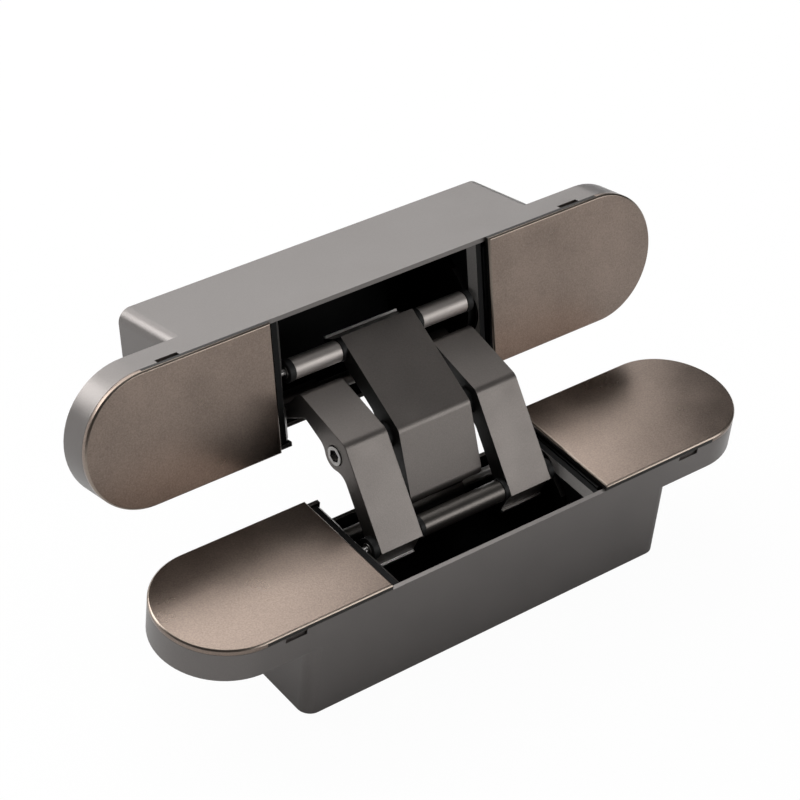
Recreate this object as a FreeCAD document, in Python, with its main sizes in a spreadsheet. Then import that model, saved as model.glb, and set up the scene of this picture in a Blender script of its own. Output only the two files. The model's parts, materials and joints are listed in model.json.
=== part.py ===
import FreeCAD, Part
import math
import os
import re
import Sketcher

# Concealed three-arm door hinge, opened to its display angle
# X runs along the hinge pins, Y from the frame housing towards the door housing, Z out of the frame face
# The origin is centred on the frame housing's screw holes, in the plane on which its ears seat
# The door housing is the frame housing turned half a turn about the fold line's bisector

doc = FreeCAD.newDocument("ConcealedHinge")
sheet = doc.addObject("Spreadsheet::Sheet", "Sizes")

# Driving sizes in millimetres and degrees
sizes = {
    # housing
    "plate_length": 148.0,
    "plate_width": 30.0,
    "plate_thickness": 6.75,
    "body_length": 95.5,
    "body_depth": 26.15,
    "side_wall": 1.0,
    "end_wall": 1.35,
    "floor_thickness": 1.25,
    "corner_round": 3.0,
    "cavity_round": 2.0,
    "under_bevel": 0.7,
    "notch_depth": 7.2,
    "notch_round": 1.5,
    "notch_margin": 0.4,
    "screw_pitch": 11.0,
    "screw_shift": 1.375,
    "screw_hole": 5.5,
    "screw_head": 9.5,
    "pry_gap": 1.75,
    "pry_length": 5.2,
    "pry_depth": 0.6,
    "pry_height": 1.2,
    # face covers
    "cover_gap": 1.0,
    "cover_thickness": 1.33,
    "cover_bevel": 0.35,
    "leg_length": 3.2,
    "leg_width": 3.0,
    "leg_thickness": 1.1,
    "leg_clearance": 0.1,
    "leg_first": 4.0,
    "leg_second": 12.5,
    # carriage
    "cheek_thickness": 2.75,
    "rail_width": 1.35,
    "rail_below": 0.35,
    "rail_slope": 1.5,
    "base_thickness": 1.2,
    "carriage_clearance": 0.1,
    "tongue_width": 20.0,
    "groove_depth": 2.2,
    "groove_play": 0.05,
    "groove_overrun": 1.0,
    # mechanism
    "rest_angle": 103.84,
    "closed_gap": 2.8,
    "fold_side": 13.6,
    "fold_height": 11.7,
    "guide_side": 1.1,
    "guide_below": 2.0,
    "pivot_side": 10.0,
    "pivot_below": 8.4,
    # arms
    "centre_arm_width": 18.9,
    "outer_arm_width": 10.8,
    "arm_spacing": 2.35,
    "cheek_spacing": 2.0,
    "pivot_eye": 2.5,
    "guide_eye": 2.1,
    "fold_boss": 3.6,
    "elbow_past": 1.15,
    "elbow_out": 5.0,
    "elbow_round": 2.5,
    "bend_along": 12.74,
    "bend_out": 8.18,
    "bend_round": 2.0,
    "neck_along": 16.82,
    "neck_out": 2.6,
    "crook_along": 10.49,
    "crook_out": 3.08,
    "boss_blend": 3.5,
    "boss_inset": 3.4,
    "tail_length": 5.7,
    "tail_thickness": 2.0,
    "tail_angle": 115.0,
    # pins
    "pivot_pin_radius": 1.6,
    "guide_pin_radius": 1.45,
    "journal_radius": 0.8,
    "cross_pin_radius": 2.2,
    "cross_pin_proud": 0.25,
    "cross_hex": 2.5,
    "cross_hex_depth": 1.6,
    "turning_play": 0.05,
    "fit_clearance": 0.02,
    "sleeve_radius": 2.36,
    "washer_radius": 2.5,
    "cross_washer_radius": 3.0,
    "washer_thickness": 1.2,
    "end_washer_thickness": 1.5,
    "side_play": 0.12,
    # adjusters
    "block_gap": 1.25,
    "block_end_gap": 0.8,
    "block_width": 24.6,
    "block_below": 1.2,
    "adjuster_radius": 2.5,
    "adjuster_hex": 3.0,
    "adjuster_hex_depth": 1.8,
    "screw_clearance": 0.1,
}
for row, (word, value) in enumerate(sizes.items(), start=1):
    sheet.set("A%d" % row, word)
    sheet.set("B%d" % row, str(value))
    sheet.setAlias("B%d" % row, word)
doc.recompute()


def named(text):
    # every size in an expression is looked up in the sheet
    return re.sub(r"[a-z]+(_[a-z]+)+", r"Sizes.\g<0>", text)


def value(text):
    return float(sheet.evalExpression(named(text)))


def vec(x, y, z=0.0):
    return FreeCAD.Vector(x, y, z)


# Places across the hinge, measured from its middle
arm_half = "centre_arm_width / 2"
arm_start = "(centre_arm_width / 2 + arm_spacing)"
arm_end = "(centre_arm_width / 2 + arm_spacing + outer_arm_width)"
cheek_inner = "(centre_arm_width / 2 + arm_spacing + outer_arm_width + cheek_spacing)"
cheek_outer = "(%s + cheek_thickness)" % cheek_inner
cover_start = "(%s + cover_gap)" % cheek_outer
cavity_half = "(body_length / 2 - end_wall)"
cavity_side = "(plate_width / 2 - side_wall)"
cavity_floor = "(floor_thickness - body_depth)"
base_top = "(floor_thickness - body_depth + base_thickness)"
block_start = "(%s + block_gap)" % cheek_outer
block_end = "(%s - block_end_gap)" % cavity_half
block_middle = "((%s + %s) / 2)" % (block_start, block_end)
ear_middle = "((plate_length + body_length) / 4 - screw_shift)"
screw_near = "(%s - screw_pitch / 2)" % ear_middle
screw_far = "(%s + screw_pitch / 2)" % ear_middle
pry_start = "(body_length / 2 + pry_gap)"

# Centres of the three pins in the plane of the arms, at the display angle
fold = vec(value("fold_side"), value("fold_height"))
guide = vec(-value("guide_side"), -value("guide_below"))
pivot = vec(value("pivot_side"), -value("pivot_below"))

# The bisector passes through the fold pin and leans by half the opening angle
half_angle = math.radians(value("rest_angle / 2"))
bisector = vec(math.cos(half_angle), -math.sin(half_angle))


def turned(offset, degrees):
    angle = math.radians(degrees)
    along = offset.x * math.cos(angle) - offset.y * math.sin(angle)
    across = offset.x * math.sin(angle) + offset.y * math.cos(angle)
    return vec(along, across)


def heading(offset):
    return math.degrees(math.atan2(offset.y, offset.x))


# The arm that pivots in a housing turns by this share of the opening angle
reach = (fold - pivot).Length
rise = value("closed_gap") - pivot.y
folded = vec(pivot.x - math.sqrt(reach ** 2 - rise ** 2), value("closed_gap"))
pivot_share = (heading(folded - pivot) - heading(fold - pivot)) / value("rest_angle")


def guide_place(opening):
    # where the guide pin lies in its housing at an opening angle
    change = opening - value("rest_angle")
    fold_now = pivot + turned(fold - pivot, -pivot_share * change)
    return fold_now + turned(guide - fold, (pivot_share - 1) * change)


# Each housing is drawn with its face at height 0, so the frame's is lifted by its ears' thickness
no_turn = FreeCAD.Rotation()
at_home = FreeCAD.Placement(vec(0, 0, value("plate_thickness")), no_turn)
to_fold = FreeCAD.Placement(vec(0, fold.x, fold.y), FreeCAD.Rotation(vec(0, bisector.x, bisector.y), 180))
half_turn = to_fold.multiply(FreeCAD.Placement(vec(0, -fold.x, -fold.y), no_turn))
across_fold = at_home.multiply(half_turn)


def new_body(name, place=at_home):
    body = doc.addObject("PartDesign::Body", name)
    body.Label = name
    body.Placement = place
    return body


def new_sketch(body, name, role, level="0"):
    # level is the height of the sketch plane along its own normal
    sketch = body.newObject("Sketcher::SketchObject", body.Name + "_" + name)
    planes = [feature for feature in body.Origin.OriginFeatures if feature.Role == role]
    sketch.AttachmentSupport = [(planes[0], "")]
    sketch.MapMode = "FlatFace"
    sketch.setExpression("AttachmentOffset.Base.z", named(level))
    return sketch


def bound(sketch, expression, *reference):
    # a constraint whose value follows the sheet
    index = sketch.addConstraint(Sketcher.Constraint(*reference, value(expression)))
    sketch.setExpression("Constraints[%d]" % index, named(expression))


def rectangle(sketch, left, right, low, high):
    corners = [vec(value(a), value(b)) for a, b in ((left, low), (right, low), (right, high), (left, high))]
    first = sketch.GeometryCount
    for number in range(4):
        sketch.addGeometry(Part.LineSegment(corners[number], corners[(number + 1) % 4]), False)
    for number in range(4):
        following = first + (number + 1) % 4
        sketch.addConstraint(Sketcher.Constraint("Coincident", first + number, 2, following, 1))
        kind = "Horizontal" if number % 2 == 0 else "Vertical"
        sketch.addConstraint(Sketcher.Constraint(kind, first + number))
    bound(sketch, left, "DistanceX", -1, 1, first, 1)
    bound(sketch, right, "DistanceX", -1, 1, first, 2)
    bound(sketch, low, "DistanceY", -1, 1, first, 1)
    bound(sketch, high, "DistanceY", -1, 1, first + 2, 1)


def circle(sketch, across, up, radius):
    middle = vec(value(across), value(up))
    number = sketch.addGeometry(Part.Circle(middle, vec(0, 0, 1), value(radius)), False)
    bound(sketch, across, "DistanceX", -1, 1, number, 3)
    bound(sketch, up, "DistanceY", -1, 1, number, 3)
    bound(sketch, radius, "Radius", number)


def outline(sketch, corners, rounds=None):
    # straight sides, with an arc at each corner that has a radius
    rounds = rounds or {}
    starts = []
    ends = []
    for number, here in enumerate(corners):
        radius = rounds.get(number, 0)
        back = (corners[number - 1] - here).normalize()
        onward = (corners[(number + 1) % len(corners)] - here).normalize()
        half_turn = back.getAngle(onward) / 2
        run = radius / math.tan(half_turn)
        starts.append(here + back * run)
        ends.append(here + onward * run)
        if radius:
            middle = here + (back + onward).normalize() * (radius / math.sin(half_turn))
            touch = middle + (here - middle).normalize() * radius
            sketch.addGeometry(Part.Arc(starts[-1], touch, ends[-1]), False)
    for number, end in enumerate(ends):
        sketch.addGeometry(Part.LineSegment(end, starts[(number + 1) % len(corners)]), False)


def pad(body, sketch, name, length, both_ways=False, reverse=False):
    feature = body.newObject("PartDesign::Pad", body.Name + "_" + name)
    feature.Profile = sketch
    feature.Midplane = both_ways
    feature.Reversed = reverse
    feature.setExpression("Length", named(length))
    return feature


def pocket(body, sketch, name, length, both_ways=False, reverse=False):
    feature = body.newObject("PartDesign::Pocket", body.Name + "_" + name)
    feature.Profile = sketch
    feature.Midplane = both_ways
    feature.Reversed = reverse
    feature.setExpression("Length", named(length))
    return feature


def countersunk(body, sketch, name, width, head_width):
    # through holes with a right-angled countersink
    doc.recompute()
    hole = body.newObject("PartDesign::Hole", body.Name + "_" + name)
    hole.Profile = sketch
    hole.ThreadType = "None"
    hole.HoleCutType = "Countersink"
    hole.setExpression("Diameter", named(width))
    hole.setExpression("HoleCutDiameter", named(head_width))
    hole.HoleCutCountersinkAngle = 90
    hole.DepthType = "ThroughAll"


def soften(body, feature, name, radius, test, kind="Fillet"):
    doc.recompute()
    edges = ["Edge%d" % number for number, edge in enumerate(feature.Shape.Edges, start=1) if test(edge)]
    smooth = body.newObject("PartDesign::" + kind, body.Name + "_" + name)
    smooth.Base = (feature, edges)
    smooth.setExpression("Radius" if kind == "Fillet" else "Size", named(radius))
    return smooth


def runs_along(edge, axis):
    if not isinstance(edge.Curve, Part.Line):
        return False
    direction = (edge.Vertexes[-1].Point - edge.Vertexes[0].Point).normalize()
    return abs(abs(direction.dot(axis)) - 1) < 1e-6


def near(number, target, slack=0.01):
    return abs(number - target) < slack


# Housing: a stadium face plate on a thin-walled box, open at the face

def make_housing(name, place):
    body = new_body(name, place)
    half_length = value("plate_length / 2")
    half_width = value("plate_width / 2")
    plate = new_sketch(body, "plate_outline", "XY_Plane")
    straight = half_length - half_width
    for side in (1, -1):
        start = vec(-side * straight, -side * half_width)
        end = vec(side * straight, -side * half_width)
        plate.addGeometry(Part.LineSegment(start, end), False)
        tip = vec(side * half_length, 0)
        plate.addGeometry(Part.Arc(end, tip, vec(side * straight, side * half_width)), False)
    pad(body, plate, "plate", "plate_thickness", reverse=True)
    box = new_sketch(body, "box_outline", "XY_Plane")
    half_body = value("body_length / 2")
    corners = [vec(-half_body, -half_width), vec(half_body, -half_width),
               vec(half_body, half_width), vec(-half_body, half_width)]
    outline(box, corners, {number: value("corner_round") for number in range(4)})
    shell = pad(body, box, "box", "body_depth", reverse=True)
    bottom = -value("body_depth")
    soften(body, shell, "underside", "under_bevel",
           lambda edge: near(edge.BoundBox.ZMax, bottom) and near(edge.BoundBox.ZMin, bottom), "Chamfer")
    cavity = new_sketch(body, "cavity_outline", "XY_Plane")
    across = value(cavity_half)
    side = value(cavity_side)
    corners = [vec(-across, -side), vec(across, -side), vec(across, side), vec(-across, side)]
    outline(cavity, corners, {number: value("cavity_round") for number in range(4)})
    pocket(body, cavity, "cavity", "-" + cavity_floor)
    notch = new_sketch(body, "notch_outline", "XZ_Plane", "-plate_width / 2")
    notch_half = value(cheek_inner + " + notch_margin")
    depth = value("notch_depth")
    corners = [vec(-notch_half, 0), vec(-notch_half, -depth), vec(notch_half, -depth), vec(notch_half, 0)]
    outline(notch, corners, {1: value("notch_round"), 2: value("notch_round")})
    pocket(body, notch, "notch", "2 * side_wall", reverse=True)
    slots = new_sketch(body, "pry_outline", "XY_Plane")
    edge = "-plate_width / 2"
    for left in (pry_start, "-%s - pry_length" % pry_start):
        rectangle(slots, left, left + " + pry_length", edge + " - pry_depth", edge + " + pry_depth")
    pocket(body, slots, "pry_slots", "pry_height")
    screws = new_sketch(body, "screw_places", "XY_Plane")
    for across in (screw_near, screw_far, "-" + screw_near, "-" + screw_far):
        circle(screws, across, "0", "screw_hole / 2")
    countersunk(body, screws, "screw_holes", "screw_hole", "screw_head")
    return body


# Cover: a half-stadium plate with clip legs

def make_cover(name, place, side):
    body = new_body(name, place)
    radius = value("plate_width / 2")
    straight = value("plate_length / 2 - plate_width / 2")
    start = side * value(cover_start)
    lower = vec(side * straight, -radius)
    upper = vec(side * straight, radius)
    tip = vec(side * (straight + radius), 0)
    face = new_sketch(body, "face_outline", "XY_Plane")
    face.addGeometry(Part.LineSegment(vec(start, -radius), lower), False)
    face.addGeometry(Part.Arc(lower, tip, upper), False)
    face.addGeometry(Part.LineSegment(upper, vec(start, radius)), False)
    face.addGeometry(Part.LineSegment(vec(start, radius), vec(start, -radius)), False)
    pad(body, face, "face", "cover_thickness")
    legs = new_sketch(body, "leg_outline", "XY_Plane")
    outer = cavity_side + " - leg_clearance"
    for first in ("leg_first", "leg_second"):
        near_end = "(%s + %s)" % (cover_start, first)
        far_end = "(%s + leg_width)" % near_end
        if side < 0:
            near_end, far_end = "-" + far_end, "-" + near_end
        rectangle(legs, near_end, far_end, outer + " - leg_thickness", outer)
        rectangle(legs, near_end, far_end, "-(%s)" % outer, "leg_thickness - (%s)" % outer)
    plate = pad(body, legs, "legs", "leg_length", reverse=True)
    top = value("cover_thickness")
    soften(body, plate, "bevel", "cover_bevel",
           lambda edge: near(edge.BoundBox.ZMin, top) and near(edge.BoundBox.ZMax, top), "Chamfer")
    return body


# Carriage: two cheeks with cam grooves on a base plate, which carries the arms in a housing

def groove_outline(sketch):
    # four arcs on each side follow the guide pin from closed to fully open
    half = value("journal_radius + groove_play")
    first = -value("groove_overrun")
    step = (180 - 2 * first) / 8
    centres = []
    travels = []
    for number in range(9):
        opening = first + number * step
        centres.append(guide_place(opening))
        travels.append((guide_place(opening + step / 2) - guide_place(opening - step / 2)).normalize())
    sides = []
    for quarter in (90, -90):
        points = [centre + turned(travel, quarter) * half for centre, travel in zip(centres, travels)]
        for number in range(0, 8, 2):
            sketch.addGeometry(Part.Arc(*points[number:number + 3]), False)
        sides.append(points)
    for number, sign in ((0, -1), (-1, 1)):
        tip = centres[number] + travels[number] * (sign * half)
        sketch.addGeometry(Part.Arc(sides[0][number], tip, sides[1][number]), False)


def make_carriage(name, place):
    body = new_body(name, place)
    base = new_sketch(body, "base_outline", "XY_Plane", cavity_floor)
    middle = "(%s - carriage_clearance)" % cavity_side
    rectangle(base, "-" + cheek_outer, cheek_outer, "-" + middle, middle)
    pad(body, base, "base", "base_thickness")
    tongue = new_sketch(body, "tongue_outline", "XY_Plane", cavity_floor)
    rectangle(tongue, "-" + block_end, block_end, "-tongue_width / 2", "tongue_width / 2")
    pad(body, tongue, "tongues", "base_thickness")
    cheeks = new_sketch(body, "cheek_outline", "XY_Plane", cavity_floor)
    rectangle(cheeks, cheek_inner, cheek_outer, "-" + middle, middle)
    rectangle(cheeks, "-" + cheek_outer, "-" + cheek_inner, "-" + middle, middle)
    pad(body, cheeks, "cheeks", "-rail_below - " + cavity_floor)
    slope = new_sketch(body, "slope_outline", "XZ_Plane")
    for side in (1, -1):
        inner = side * value(cheek_inner)
        rail = side * value(cheek_outer + " - rail_width")
        top = -value("rail_below")
        outline(slope, [vec(rail, top), vec(inner, top - value("rail_slope")), vec(inner, top)])
    pocket(body, slope, "slopes", "plate_width", both_ways=True)
    bores = new_sketch(body, "pivot_bore_outline", "YZ_Plane")
    circle(bores, "pivot_side", "-pivot_below", "pivot_pin_radius + fit_clearance")
    pocket(body, bores, "pivot_bores", "plate_length", both_ways=True)
    groove = new_sketch(body, "groove_outline", "YZ_Plane")
    groove_outline(groove)
    pocket(body, groove, "grooves", "2 * (%s + groove_depth)" % cheek_inner, both_ways=True)
    screws = new_sketch(body, "tapped_outline", "XY_Plane", base_top)
    for across in (block_middle, "-" + block_middle):
        circle(screws, across, "0", "adjuster_radius + fit_clearance")
    pocket(body, screws, "tapped_holes", "base_thickness")
    return body


# Adjuster block: stands on the carriage's tongue and guides one screw

def make_block(name, place, side):
    body = new_body(name, place)
    sketch = new_sketch(body, "block_outline", "XY_Plane", base_top)
    left, right = (block_start, block_end) if side > 0 else ("-" + block_end, "-" + block_start)
    rectangle(sketch, left, right, "-block_width / 2", "block_width / 2")
    pad(body, sketch, "block", "-block_below - " + base_top)
    bore = new_sketch(body, "bore_outline", "XY_Plane", "-block_below")
    circle(bore, block_middle if side > 0 else "-" + block_middle, "0", "adjuster_radius + screw_clearance")
    pocket(body, bore, "bore", "body_depth")
    return body


# Round pieces: cylinders, tubes and hexagons placed in a housing's frame

along_x = FreeCAD.Rotation(vec(0, 1, 0), 90)


def cylinder(name, radius, length, start, place, rotation=along_x):
    piece = doc.addObject("Part::Cylinder", name)
    piece.setExpression("Radius", named(radius))
    piece.setExpression("Height", named(length))
    piece.Placement = place.multiply(FreeCAD.Placement(start, rotation))
    return piece


def hexagon(name, across_flats, depth, start, place, rotation=along_x):
    piece = doc.addObject("Part::Prism", name)
    piece.Polygon = 6
    piece.setExpression("Circumradius", named("%s / sqrt(3)" % across_flats))
    piece.setExpression("Height", named(depth))
    piece.Placement = place.multiply(FreeCAD.Placement(start, rotation))
    return piece


def joined(name, pieces):
    whole = doc.addObject("Part::MultiFuse", name)
    whole.Shapes = pieces
    whole.Refine = True
    return whole


def cut(name, piece, tool):
    whole = doc.addObject("Part::Cut", name)
    whole.Base = piece
    whole.Tool = tool
    return whole


def group(name, pieces):
    whole = doc.addObject("Part::Compound", name)
    whole.Links = pieces
    return whole


def span(name, radius, low, high, centre, place):
    # a cylinder along X between two places
    start = vec(value(low), centre.x, centre.y)
    return cylinder(name, radius, "(%s) - (%s)" % (high, low), start, place)


def tube(name, outer, pin, low, high, centre, place):
    # a washer, sleeve or spacer with a slight clearance on its pin
    wall = span(name + "_wall", outer, low, high, centre, place)
    bore = span(name + "_bore", pin + " + fit_clearance", low, high, centre, place)
    return cut(name, wall, bore)


def tube_pair(name, outer, pin, low, high, centre, place):
    right = tube(name + "_right", outer, pin, low, high, centre, place)
    left = tube(name + "_left", outer, pin, "-(%s)" % high, "-(%s)" % low, centre, place)
    return group(name, [left, right])


# Pins across the arms

def make_pivot_pin(name, place):
    return span(name, "pivot_pin_radius", "-" + cheek_outer, cheek_outer, pivot, place)


def make_guide_pin(name, place):
    # thick through the arms, with a thinner journal in each cheek's groove
    shoulder = "(%s + side_play + end_washer_thickness)" % arm_end
    tip = "(%s + groove_depth - side_play)" % cheek_inner
    middle = span(name + "_middle", "guide_pin_radius", "-" + shoulder, shoulder, guide, place)
    journal = span(name + "_journal", "journal_radius", "-" + tip, tip, guide, place)
    return joined(name, [middle, journal])


def make_cross_pin(name):
    # both ends stand a little proud of the outer arms and have a hexagon socket
    tip = "(%s + cross_pin_proud)" % arm_end
    shank = span(name + "_shank", "cross_pin_radius", "-" + tip, tip, fold, at_home)
    sockets = []
    for side, level in (("right", tip + " - cross_hex_depth"), ("left", "-" + tip)):
        start = vec(value(level), fold.x, fold.y)
        sockets.append(hexagon(name + "_socket_" + side, "cross_hex", "cross_hex_depth", start, at_home))
    return cut(name, shank, joined(name + "_sockets", sockets))


# Adjusting screws: headless, one in each block, from its top to the housing's floor

def make_adjusting_screws(name, place):
    pieces = []
    for side, sign in (("right", 1), ("left", -1)):
        label = name + "_" + side
        foot = vec(sign * value(block_middle), 0, value(cavity_floor))
        seat = vec(foot.x, foot.y, value("-block_below - adjuster_hex_depth"))
        rod = cylinder(label + "_rod", "adjuster_radius", "-block_below - " + cavity_floor, foot, place, no_turn)
        socket = hexagon(label + "_socket", "adjuster_hex", "adjuster_hex_depth", seat, place, no_turn)
        pieces.append(cut(label, rod, socket))
    return group(name, pieces)


# Arms: one bent outline for all three, with eyes at its pivot and guide pins and a boss at the fold

guide_across = half_turn.multVec(vec(0, guide.x, guide.y))
far_guide = vec(guide_across.y, guide_across.z)


def touch_point(start, centre, radius, side):
    # where a line from start touches a circle, on the given side
    away = start - centre
    opening = math.degrees(math.acos(radius / away.Length))
    choices = [centre + turned(away.normalize() * radius, sign * opening) for sign in (1, -1)]
    return max(choices, key=lambda point: (point - centre).dot(side))


def make_arm(name, place, low, width, play):
    body = new_body(name, place)
    along_guide = (fold - far_guide).normalize()
    front = turned(along_guide, -90)
    along_pivot = (pivot - fold).normalize()
    outer = turned(along_pivot, -90)
    elbow = fold + along_guide * value("elbow_past") + front * value("elbow_out")
    bend = fold + along_pivot * value("bend_along") + outer * value("bend_out")
    neck = fold + along_pivot * value("neck_along") + outer * value("neck_out")
    crook = fold + along_pivot * value("crook_along") + outer * value("crook_out")
    inside = fold - along_guide * value("boss_inset")
    # the front face runs on past the guide pin and ends in a square corner
    end = far_guide - along_guide * value("guide_eye")
    corners = [end + front * value("guide_eye"), elbow, bend, neck, pivot,
               touch_point(crook, pivot, value("pivot_eye"), outer * -1), crook, inside,
               touch_point(inside, far_guide, value("guide_eye"), front * -1), far_guide, end]
    limb = new_sketch(body, "limb_outline", "YZ_Plane", low)
    outline(limb, corners, {1: value("elbow_round"), 2: value("bend_round")})
    pad(body, limb, "limb", width)
    tail_way = turned(along_guide, value("tail_angle"))
    tail_side = turned(tail_way, 90)
    start = far_guide + tail_side * value("guide_eye")
    back = far_guide + tail_side * value("guide_eye - tail_thickness")
    tip = tail_way * value("tail_length")
    tail = new_sketch(body, "tail_outline", "YZ_Plane", low)
    outline(tail, [start, start + tip, back + tip, back])
    pad(body, tail, "tail", width)
    for label, centre, radius in (("pivot_eye", pivot, "pivot_eye"), ("guide_eye", far_guide, "guide_eye"),
                                  ("fold_boss", fold, "fold_boss")):
        eye = new_sketch(body, label + "_outline", "YZ_Plane", low)
        eye.addGeometry(Part.Circle(centre, vec(0, 0, 1), value(radius)), False)
        solid = pad(body, eye, label, width)
    for label, centre, radius in (("pivot_bore", pivot, "pivot_pin_radius + turning_play"),
                                  ("guide_bore", far_guide, "guide_pin_radius + fit_clearance"),
                                  ("fold_bore", fold, "cross_pin_radius + " + play)):
        bore = new_sketch(body, label + "_outline", "YZ_Plane")
        bore.addGeometry(Part.Circle(centre, vec(0, 0, 1), value(radius)), False)
        solid = pocket(body, bore, label, "plate_length", both_ways=True)
    centre = vec(0, fold.x, fold.y)
    across = vec(1, 0, 0)
    boss = value("fold_boss")
    soften(body, solid, "blends", "boss_blend",
           lambda edge: runs_along(edge, across) and near(edge.Vertexes[0].Point.distanceToLine(centre, across), boss))
    return body


nodes = []
for side, place, way in (("frame", at_home, 1), ("door", across_fold, -1)):
    nodes.append(make_housing(side + "_housing", place))
    for name, sign in (("left", -way), ("right", way)):
        nodes.append(make_cover(side + "_cover_" + name, place, sign))
        nodes.append(make_block(side + "_block_" + name, place, sign))
    nodes.append(make_carriage(side + "_carriage", place))
    nodes.append(make_adjusting_screws(side + "_adjusting_screws", place))
    nodes.append(make_pivot_pin(side + "_pivot_pin", place))
    nodes.append(make_guide_pin(side + "_guide_pin", place))

nodes.append(make_arm("centre_arm", at_home, "-" + arm_half, "centre_arm_width", "turning_play"))
nodes.append(make_arm("outer_arm_left", across_fold, arm_start, "outer_arm_width", "fit_clearance"))
nodes.append(make_arm("outer_arm_right", across_fold, "-" + arm_end, "outer_arm_width", "fit_clearance"))
nodes.append(make_cross_pin("cross_pin"))
nodes.append(tube_pair("cross_washers", "cross_washer_radius", "cross_pin_radius",
                       arm_half + " + side_play", arm_start, fold, at_home))

# Sleeves and washers on the two guide pins
nodes.append(tube("frame_sleeve", "sleeve_radius", "guide_pin_radius",
                  "washer_thickness - " + arm_start, arm_start + " - washer_thickness", guide, at_home))
nodes.append(tube_pair("frame_washers", "washer_radius", "guide_pin_radius",
                       arm_start + " - washer_thickness", arm_start, guide, at_home))
nodes.append(tube_pair("frame_end_washers", "washer_radius", "guide_pin_radius",
                       arm_end, arm_end + " + end_washer_thickness", guide, at_home))
sleeve_start = "(%s + washer_thickness)" % arm_half
door_sleeves = (("door_sleeve_left", sleeve_start, arm_end),
                ("door_sleeve_right", "-" + arm_end, "-" + sleeve_start))
for name, low, high in door_sleeves:
    nodes.append(tube(name, "sleeve_radius", "guide_pin_radius", low, high, guide, across_fold))
nodes.append(tube_pair("door_washers", "washer_radius", "guide_pin_radius",
                       arm_half, sleeve_start, guide, across_fold))
nodes.append(tube_pair("door_end_washers", "washer_radius", "guide_pin_radius",
                       arm_end, arm_end + " + end_washer_thickness", guide, across_fold))

doc.recompute()
for item in doc.Objects:
    if "Invalid" in item.State or "Error" in item.State:
        raise RuntimeError(item.Name + " failed: " + ", ".join(item.State))
os.makedirs("parts", exist_ok=True)
for node in nodes:
    if node.Shape.isNull() or not node.Shape.isValid():
        raise RuntimeError(node.Label + " has no valid shape")
    node.Shape.exportStep("parts/%s.step" % node.Label)
    box = node.Shape.BoundBox
    print("%s: %d solids, %.1f mm3, x %.2f %.2f, y %.2f %.2f, z %.2f %.2f" % (
        node.Label, len(node.Shape.Solids), node.Shape.Volume,
        box.XMin, box.XMax, box.YMin, box.YMax, box.ZMin, box.ZMax))
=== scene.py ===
import bpy
import json
import math
from mathutils import Matrix, Vector

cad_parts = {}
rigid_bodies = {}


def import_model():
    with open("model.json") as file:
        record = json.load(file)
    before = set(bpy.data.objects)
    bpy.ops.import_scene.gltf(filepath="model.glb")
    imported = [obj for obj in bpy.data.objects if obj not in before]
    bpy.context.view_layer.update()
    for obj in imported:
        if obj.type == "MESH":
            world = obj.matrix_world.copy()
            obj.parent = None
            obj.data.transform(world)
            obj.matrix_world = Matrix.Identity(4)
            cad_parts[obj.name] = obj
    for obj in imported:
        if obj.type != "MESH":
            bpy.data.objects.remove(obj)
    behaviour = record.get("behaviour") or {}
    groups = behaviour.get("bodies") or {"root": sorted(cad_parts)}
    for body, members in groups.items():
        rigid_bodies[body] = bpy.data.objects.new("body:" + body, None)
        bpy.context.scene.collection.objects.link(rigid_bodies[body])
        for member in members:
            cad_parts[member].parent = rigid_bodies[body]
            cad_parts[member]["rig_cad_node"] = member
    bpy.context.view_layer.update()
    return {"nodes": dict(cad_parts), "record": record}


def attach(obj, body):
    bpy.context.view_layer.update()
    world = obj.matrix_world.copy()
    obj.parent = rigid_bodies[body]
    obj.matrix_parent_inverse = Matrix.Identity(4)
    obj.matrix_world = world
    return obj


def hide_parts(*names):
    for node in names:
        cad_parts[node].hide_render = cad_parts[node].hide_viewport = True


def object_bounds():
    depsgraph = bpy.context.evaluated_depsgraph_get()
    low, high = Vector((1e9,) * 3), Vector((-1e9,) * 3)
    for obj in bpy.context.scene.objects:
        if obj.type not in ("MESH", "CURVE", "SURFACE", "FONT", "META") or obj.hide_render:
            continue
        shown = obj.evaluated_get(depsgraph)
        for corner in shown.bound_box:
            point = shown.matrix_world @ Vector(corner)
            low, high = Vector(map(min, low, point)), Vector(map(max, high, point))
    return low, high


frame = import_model()
mm = 0.001


def selectOnly(piece):
    bpy.ops.object.select_all(action="DESELECT")
    piece.select_set(True)
    bpy.context.view_layer.objects.active = piece


# camera, at the photograph's angle and distance
cameraPlan = {
    "place": (-293.20 * mm, -304.94 * mm, 366.22 * mm),
    "turn": (51.3897, -5.1740, -37.8506),
    "lens": 120.30,
    "sensor": 36.0,
    "clip": (0.01, 20),
}


def addCamera():
    turn = [math.radians(angle) for angle in cameraPlan["turn"]]
    bpy.ops.object.camera_add(location=cameraPlan["place"], rotation=turn)
    camera = bpy.context.object
    camera.name = "photoCamera"
    camera.data.sensor_width = cameraPlan["sensor"]
    camera.data.lens = cameraPlan["lens"]
    camera.data.clip_start, camera.data.clip_end = cameraPlan["clip"]
    bpy.context.scene.camera = camera
    print("camera placed")


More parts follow.
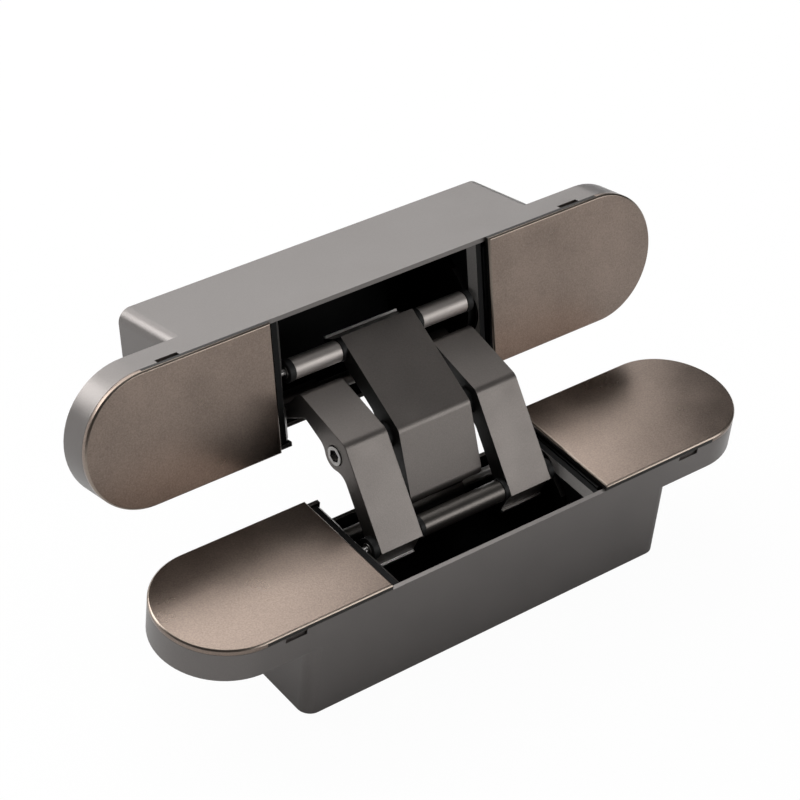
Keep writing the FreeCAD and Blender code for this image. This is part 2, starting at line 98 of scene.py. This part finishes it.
# finishes: colour, how metallic and how rough, how much a bare sheen shows,
# the size of the grain, the strength of its bumps and how much the colour drifts
finishes = {
    "housing": {"colour": (0.157, 0.146, 0.140), "metallic": 0.9, "roughness": 0.38, "shine": 0.5,
                "grain": 0.25 * mm, "bump": 0.10, "mottle": 0.06},
    "cover": {"colour": (0.212, 0.168, 0.141), "metallic": 1.0, "roughness": 0.31, "shine": 0.5,
              "grain": 0.34 * mm, "bump": 0.42, "mottle": 0.18},
    # painted highlight: a lighter copy of the cover finish for the rim line
    "coverEdgeHighlight": {"colour": (0.270, 0.225, 0.190), "metallic": 1.0, "roughness": 0.32, "shine": 0.5,
                  "grain": 0.30 * mm, "bump": 0.10, "mottle": 0.10},
    "carriage": {"colour": (0.170, 0.162, 0.155), "metallic": 0.8, "roughness": 0.42, "shine": 0.5,
                 "grain": 0.30 * mm, "bump": 0.10, "mottle": 0.08},
    # painted shade: near black, standing in for the shade inside the housings and the carriage
    "recessShade": {"colour": (0.004, 0.004, 0.004), "metallic": 0.0, "roughness": 0.62, "shine": 0.15,
               "grain": 0.30 * mm, "bump": 0.10, "mottle": 0.10},
    "block": {"colour": (0.020, 0.020, 0.020), "metallic": 0.3, "roughness": 0.5, "shine": 0.4,
              "grain": 0.30 * mm, "bump": 0.10, "mottle": 0.10},
    "arm": {"colour": (0.139, 0.1255, 0.117), "metallic": 0.85, "roughness": 0.44, "shine": 0.5,
            "grain": 0.30 * mm, "bump": 0.40, "mottle": 0.08},
    # painted shade: a dark copy of the arm finish, for the arms' facing flanks, the cover sides and
    # the cross pin's ends
    "flankShade": {"colour": (0.030, 0.028, 0.026), "metallic": 0.6, "roughness": 0.55, "shine": 0.3,
              "grain": 0.42 * mm, "bump": 0.45, "mottle": 0.12},
    # painted highlight: a near-white metal for the light line at each arm's tail end
    "toeHighlight": {"colour": (0.75, 0.73, 0.70), "metallic": 1.0, "roughness": 0.40, "shine": 0.5,
            "grain": 0.20 * mm, "bump": 0.05, "mottle": 0.10},
    # the frame sleeve is painted far darker than the satin door sleeves, partly painted shade where
    # the arms shade it
    "sleeve": {"colour": (0.096, 0.088, 0.081), "metallic": 0.9, "roughness": 0.38, "shine": 0.5,
               "grain": 0.20 * mm, "bump": 0.08, "mottle": 0.06},
    "satin": {"colour": (0.372, 0.342, 0.324), "metallic": 0.9, "roughness": 0.50, "shine": 0.5,
              "grain": 0.20 * mm, "bump": 0.12, "mottle": 0.06},
    "screw": {"colour": (0.30, 0.30, 0.30), "metallic": 0.9, "roughness": 0.35, "shine": 0.5,
              "grain": 0.20 * mm, "bump": 0.05, "mottle": 0.06},
    "washer": {"colour": (0.006, 0.006, 0.006), "metallic": 0.0, "roughness": 0.55, "shine": 0.25,
               "grain": 0.20 * mm, "bump": 0.05, "mottle": 0.10},
    "pin": {"colour": (0.32, 0.31, 0.30), "metallic": 1.0, "roughness": 0.30, "shine": 0.5,
            "grain": 0.20 * mm, "bump": 0.03, "mottle": 0.05},
}

# what all finishes share: the cloud's size, the grain's share in the colour,
# where the colour and the gloss begin and end to drift, and how high the bumps are
texturePlan = {
    "cloudSize": 11 * mm,
    "grainDetail": 2.0,
    "cloudDetail": 3.0,
    "grainShare": 0.6,
    "toneSpan": (0.35, 0.65),
    "glossSpan": (0.3, 0.7),
    "glossDrift": 0.04,
    "bumpHeight": 0.05 * mm,
}


def addNoise(nodes, links, place, size, detail):
    noise = nodes.new("ShaderNodeTexNoise")
    noise.inputs["Scale"].default_value = 1 / size
    noise.inputs["Detail"].default_value = detail
    links.new(place.outputs["Object"], noise.inputs["Vector"])
    return noise


def makeFinish(name, plan):
    material = bpy.data.materials.new(name + "Finish")
    material.use_nodes = True
    nodes = material.node_tree.nodes
    links = material.node_tree.links
    shader = nodes["Principled BSDF"]
    shader.inputs["Metallic"].default_value = plan["metallic"]
    shader.inputs["Specular IOR Level"].default_value = plan["shine"]
    place = nodes.new("ShaderNodeTexCoord")
    grain = addNoise(nodes, links, place, plan["grain"], texturePlan["grainDetail"])
    cloud = addNoise(nodes, links, place, texturePlan["cloudSize"], texturePlan["cloudDetail"])
    # the colour drifts a little with the cloud and sparkles with the grain
    tone = nodes.new("ShaderNodeValToRGB")
    low = [channel * (1 - plan["mottle"]) for channel in plan["colour"]]
    high = [channel * (1 + plan["mottle"]) for channel in plan["colour"]]
    ends = tone.color_ramp.elements
    ends[0].position, ends[1].position = texturePlan["toneSpan"]
    ends[0].color = (*low, 1)
    ends[1].color = (*high, 1)
    blend = nodes.new("ShaderNodeMix")
    blend.data_type = "FLOAT"
    blend.inputs[0].default_value = 1 - texturePlan["grainShare"]
    links.new(grain.outputs["Fac"], blend.inputs[2])
    links.new(cloud.outputs["Fac"], blend.inputs[3])
    links.new(blend.outputs[0], tone.inputs["Fac"])
    links.new(tone.outputs["Color"], shader.inputs["Base Color"])
    gloss = nodes.new("ShaderNodeMapRange")
    gloss.inputs["From Min"].default_value = texturePlan["glossSpan"][0]
    gloss.inputs["From Max"].default_value = texturePlan["glossSpan"][1]
    gloss.inputs["To Min"].default_value = plan["roughness"] - texturePlan["glossDrift"]
    gloss.inputs["To Max"].default_value = plan["roughness"] + texturePlan["glossDrift"]
    links.new(cloud.outputs["Fac"], gloss.inputs["Value"])
    links.new(gloss.outputs["Result"], shader.inputs["Roughness"])
    bump = nodes.new("ShaderNodeBump")
    bump.inputs["Strength"].default_value = plan["bump"]
    bump.inputs["Distance"].default_value = texturePlan["bumpHeight"]
    links.new(grain.outputs["Fac"], bump.inputs["Height"])
    links.new(bump.outputs["Normal"], shader.inputs["Normal"])
    return material


slotOf = {entry["node"]: entry["material_slot"] for entry in frame["record"]["subparts"]}
materials = {name: makeFinish(name, plan) for name, plan in finishes.items()}
print("finishes made")

# how wide the broken edge of each kind of piece is
edgePlan = {
    "housing": 0.22 * mm,
    "cover": 0.10 * mm,
    "carriage": 0.12 * mm,
    "block": 0.30 * mm,
    "arm": 0.45 * mm,
    "sleeve": 0.12 * mm,
    "screw": 0.15 * mm,
    "washer": 0.08 * mm,
    "pin": 0.12 * mm,
}


def bodyOf(node):
    for body, members in frame["record"]["behaviour"]["bodies"].items():
        if node in members:
            return body


# where the faces with a second finish lie and how they lean, in the frame housing's place
secondPlan = {
    "recessHalfLength": 46.45 * mm,
    "recessHalfWidth": 14.05 * mm,
    "recessTop": 6.70 * mm,
    "recessFloor": -19.0 * mm,
    "coverTop": 7.4 * mm,
    "roundStart": 59 * mm,
    "coverEdgeLean": (0.25, 0.97),
    "rimLean": (0.4, 0.9),
    "flankReach": 12 * mm,
    "squareOn": 0.9,
    "toeReach": 1.5 * mm,
    "toeStart": 0.02 * mm,
    "pinEnd": 22.9 * mm,
    "foldPoint": (0, 13.6 * mm, 18.45 * mm),
    "foldLean": math.radians(51.92),
}


def homePlace(node):
    # the door housing is the frame housing turned half round the fold line
    if node.startswith("frame"):
        return Matrix.Identity(4)
    fold = Vector(secondPlan["foldPoint"])
    line = Vector((0, math.cos(secondPlan["foldLean"]), -math.sin(secondPlan["foldLean"])))
    return Matrix.Translation(fold) @ Matrix.Rotation(math.pi, 4, line) @ Matrix.Translation(-fold)


def isShadedRecess(spot, out):
    # the inside of a housing is painted black, painted shade in its recess
    across = abs(spot.y) < secondPlan["recessHalfWidth"]
    along = abs(spot.x) < secondPlan["recessHalfLength"]
    return across and along and secondPlan["recessFloor"] < spot.z < secondPlan["recessTop"]


def isInsideCarriage(spot, out):
    # painted shade: the carriage is painted black inside, all but the sloping rims of its cheeks
    low, high = secondPlan["rimLean"]
    return not (low < out.z < high and spot.z > 0)


def isCoverEdge(spot, out):
    # the rim round a cover's face is painted lighter, a painted highlight
    low, high = secondPlan["coverEdgeLean"]
    return low < out.z < high and spot.z > secondPlan["coverTop"]


def isCoverSide(spot, out):
    # the straight low sides of a cover are painted dark, a painted shadow of the gap under its rim
    upright = abs(out.z) < secondPlan["coverEdgeLean"][0]
    onFace = spot.z > secondPlan["recessTop"] and abs(spot.x) < secondPlan["roundStart"]
    return upright and onFace


def isInnerFlank(spot, out):
    # the flanks of the arms that face another arm are painted dark, painted shade between the arms
    between = abs(spot.x) < secondPlan["flankReach"] or out.x * spot.x < 0
    return abs(out.x) > secondPlan["squareOn"] and between


def isTailToe(spot, out):
    # the toe at the end of each arm's tail is painted bright, a painted highlight
    fromTip = spot - Vector(tailPlan["tip"])
    proud = fromTip.dot(Vector(tailPlan["face"]))
    along = abs(fromTip.dot(Vector(tailPlan["way"])))
    return proud > secondPlan["toeStart"] and along < secondPlan["toeReach"]


def isPinEnd(spot, out):
    # the ends of the cross pin are painted dark, painted shade
    return abs(out.x) > secondPlan["squareOn"] and abs(spot.x) > secondPlan["pinEnd"]


# a word of the node's name, the second finish, and which faces get it
secondFinishes = [
    ("housing", "recessShade", isShadedRecess),
    ("carriage", "recessShade", isInsideCarriage),
    ("cover", "coverEdgeHighlight", isCoverEdge),
    ("cover", "flankShade", isCoverSide),
    ("arm", "flankShade", isInnerFlank),
    ("arm", "toeHighlight", isTailToe),
    ("cross_pin", "flankShade", isPinEnd),
]


def drawingPlace(node):
    # the outer arms are the centre arm turned half round the fold line
    return homePlace("door") if node == "centre_arm" else homePlace("frame")


def paintFaces(piece, node):
    for kind, finish, chosen in secondFinishes:
        if kind not in node:
            continue
        home = drawingPlace(node) if kind == "arm" else homePlace(node)
        piece.data.materials.append(materials[finish])
        for face in piece.data.polygons:
            if chosen(home @ face.center, home.to_3x3() @ face.normal):
                face.material_index = len(piece.data.materials) - 1


# the tail of each arm: its outer corner, the way it runs, the way its face looks,
# how long and how square its face is, and the toe at its end
tailPlan = {
    "tip": (0, -1.34 * mm, -1.32 * mm),
    "way": (0, 0.309, -0.951),
    "face": (0, -0.951, -0.309),
    "faceLength": 6 * mm,
    "faceSquare": 0.95,
    "toeHeight": 0.8 * mm,
    "toeProud": 0.55 * mm,
}


def selectTail(piece, home, upTo):
    # the tail's outer face, between its end and a distance from it
    bpy.ops.mesh.select_all(action="DESELECT")
    bpy.ops.object.mode_set(mode="OBJECT")
    for face in piece.data.polygons:
        beyond = (home @ face.center - Vector(tailPlan["tip"])).dot(Vector(tailPlan["way"]))
        outward = (home.to_3x3() @ face.normal).dot(Vector(tailPlan["face"]))
        face.select = outward > tailPlan["faceSquare"] and -upTo < beyond < 0
    bpy.ops.object.mode_set(mode="EDIT")


def addToe(piece, node):
    # the tail's end is cut off its face, and that part is drawn out
    home = drawingPlace(node)
    back = home.inverted()
    cut = Vector(tailPlan["tip"]) - Vector(tailPlan["way"]) * tailPlan["toeHeight"]
    selectTail(piece, home, tailPlan["faceLength"])
    bpy.ops.mesh.bisect(plane_co=back @ cut, plane_no=back.to_3x3() @ Vector(tailPlan["way"]))
    selectTail(piece, home, tailPlan["toeHeight"])
    push = back.to_3x3() @ Vector(tailPlan["face"]) * tailPlan["toeProud"]
    bpy.ops.mesh.extrude_region_move(TRANSFORM_OT_translate={"value": push})


# how the solids are merged, and how their edges are broken and smoothed
meshPlan = {
    "mergeWithin": 0.002 * mm,
    "flatWithin": math.radians(0.5),
    "edgeSteps": 3,
    "sharpFrom": math.radians(35),
    "smoothUpTo": math.radians(30),
    "flatFirst": 100,
}


def finishPiece(node):
    # a merged copy of the solid, with broken edges and smooth curves
    source = frame["nodes"][node]
    selectOnly(source)
    bpy.ops.object.duplicate()
    piece = bpy.context.object
    piece.name = "dressed_" + node
    piece.data = piece.data.copy()
    del piece["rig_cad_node"]
    piece.parent = None
    selectOnly(piece)
    bpy.ops.object.mode_set(mode="EDIT")
    bpy.ops.mesh.select_all(action="SELECT")
    bpy.ops.mesh.remove_doubles(threshold=meshPlan["mergeWithin"])
    bpy.ops.mesh.dissolve_limited(angle_limit=meshPlan["flatWithin"])
    if "arm" in node:
        addToe(piece, node)
    bpy.ops.object.mode_set(mode="OBJECT")
    slot = slotOf[node]
    bevel = piece.modifiers.new("edges", "BEVEL")
    bevel.width = edgePlan[slot]
    bevel.segments = meshPlan["edgeSteps"]
    bevel.limit_method = "ANGLE"
    bevel.angle_limit = meshPlan["sharpFrom"]
    bevel.use_clamp_overlap = True
    bevel.harden_normals = False
    bpy.ops.object.modifier_apply(modifier="edges")
    bpy.ops.object.shade_smooth_by_angle(angle=meshPlan["smoothUpTo"])
    if slot != "cover":
        # large flat faces keep their own direction beside the broken edges
        even = piece.modifiers.new("even", "WEIGHTED_NORMAL")
        even.keep_sharp = True
        even.weight = meshPlan["flatFirst"]
        bpy.ops.object.modifier_apply(modifier="even")
    piece.data.materials.clear()
    # the door sleeves take the lighter satin finish; the frame sleeve keeps its darker one, partly
    # painted shade
    first = "satin" if node.startswith("door_sleeve") else slot
    piece.data.materials.append(materials[first])
    paintFaces(piece, node)
    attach(piece, bodyOf(node))
    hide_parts(node)


for node in sorted(frame["nodes"]):
    finishPiece(node)
print("pieces dressed")

# the floor, how white the camera and reflections see it, and the world's own light
stagePlan = {
    "floorDrop": 0.5 * mm,
    "floorSize": 6.0,
    "floorColour": (0.85, 0.85, 0.85, 1),
    "floorRoughness": 0.9,
    "cameraWhite": 0.97,
    "glossyWhite": 0.08,
    "worldLight": 0.07,
}


def makeFloor():
    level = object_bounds()[0][2] - stagePlan["floorDrop"]
    bpy.ops.mesh.primitive_plane_add(size=stagePlan["floorSize"], location=(0, 0, level))
    floor = bpy.context.object
    floor.name = "paleFloor"
    material = bpy.data.materials.new("paleFloor")
    material.use_nodes = True
    nodes = material.node_tree.nodes
    links = material.node_tree.links
    lit = nodes["Principled BSDF"]
    lit.inputs["Base Color"].default_value = stagePlan["floorColour"]
    lit.inputs["Roughness"].default_value = stagePlan["floorRoughness"]
    white = nodes.new("ShaderNodeEmission")
    path = nodes.new("ShaderNodeLightPath")
    # each kind of ray sees a share of pure white, and the lit floor with its shadow for the rest
    shares = [
        ("Is Camera Ray", stagePlan["cameraWhite"]),
        ("Is Transmission Ray", stagePlan["cameraWhite"]),
        ("Is Glossy Ray", stagePlan["glossyWhite"]),
    ]
    total = None
    for kind, amount in shares:
        part = nodes.new("ShaderNodeMath")
        part.operation = "MULTIPLY_ADD"
        part.use_clamp = True
        part.inputs[1].default_value = amount
        part.inputs[2].default_value = 0
        links.new(path.outputs[kind], part.inputs[0])
        if total:
            links.new(total.outputs[0], part.inputs[2])
        total = part
    mix = nodes.new("ShaderNodeMixShader")
    links.new(total.outputs[0], mix.inputs[0])
    links.new(lit.outputs[0], mix.inputs[1])
    links.new(white.outputs[0], mix.inputs[2])
    links.new(mix.outputs[0], nodes["Material Output"].inputs["Surface"])
    floor.data.materials.append(material)


# soft panels, each with its place, its width and height, and its power
lampPlan = {
    "backPanel": {"place": (0.43, 1.12, 0.76), "size": (1.15, 1.1), "power": 10},
    "leftPanel": {"place": (-0.60, 1.10, 0.70), "size": (0.9, 0.9), "power": 16},
    "topPanel": {"place": (0.06, 0.43, 1.15), "size": (1.2, 0.9), "power": 7},
    "sidePanel": {"place": (0.75, -1.1, 0.49), "size": (1.0, 0.6), "power": 8.5},
}

# what the panels are turned to
lampTarget = (0, 20 * mm, 10 * mm)


def makeWorld():
    world = bpy.data.worlds.new("studio")
    bpy.context.scene.world = world
    world.use_nodes = True
    nodes = world.node_tree.nodes
    nodes["Background"].inputs["Color"].default_value = (1, 1, 1, 1)
    # past the floor's far edge the camera sees the same white as on it
    path = nodes.new("ShaderNodeLightPath")
    white = nodes.new("ShaderNodeMath")
    white.operation = "MULTIPLY_ADD"
    white.inputs[1].default_value = stagePlan["cameraWhite"] - stagePlan["worldLight"]
    white.inputs[2].default_value = stagePlan["worldLight"]
    world.node_tree.links.new(path.outputs["Is Camera Ray"], white.inputs[0])
    world.node_tree.links.new(white.outputs[0], nodes["Background"].inputs["Strength"])


def makeLights():
    for name, plan in lampPlan.items():
        bpy.ops.object.light_add(type="AREA", location=plan["place"])
        lamp = bpy.context.object
        lamp.name = name
        lamp.data.shape = "RECTANGLE"
        lamp.data.size = plan["size"][0]
        lamp.data.size_y = plan["size"][1]
        lamp.data.energy = plan["power"]
        aim = Vector(lampTarget) - Vector(plan["place"])
        lamp.rotation_euler = aim.to_track_quat("-Z", "Y").to_euler()


addCamera()
makeFloor()
makeWorld()
makeLights()
bpy.context.scene.view_settings.view_transform = "Standard"
print("stage set")
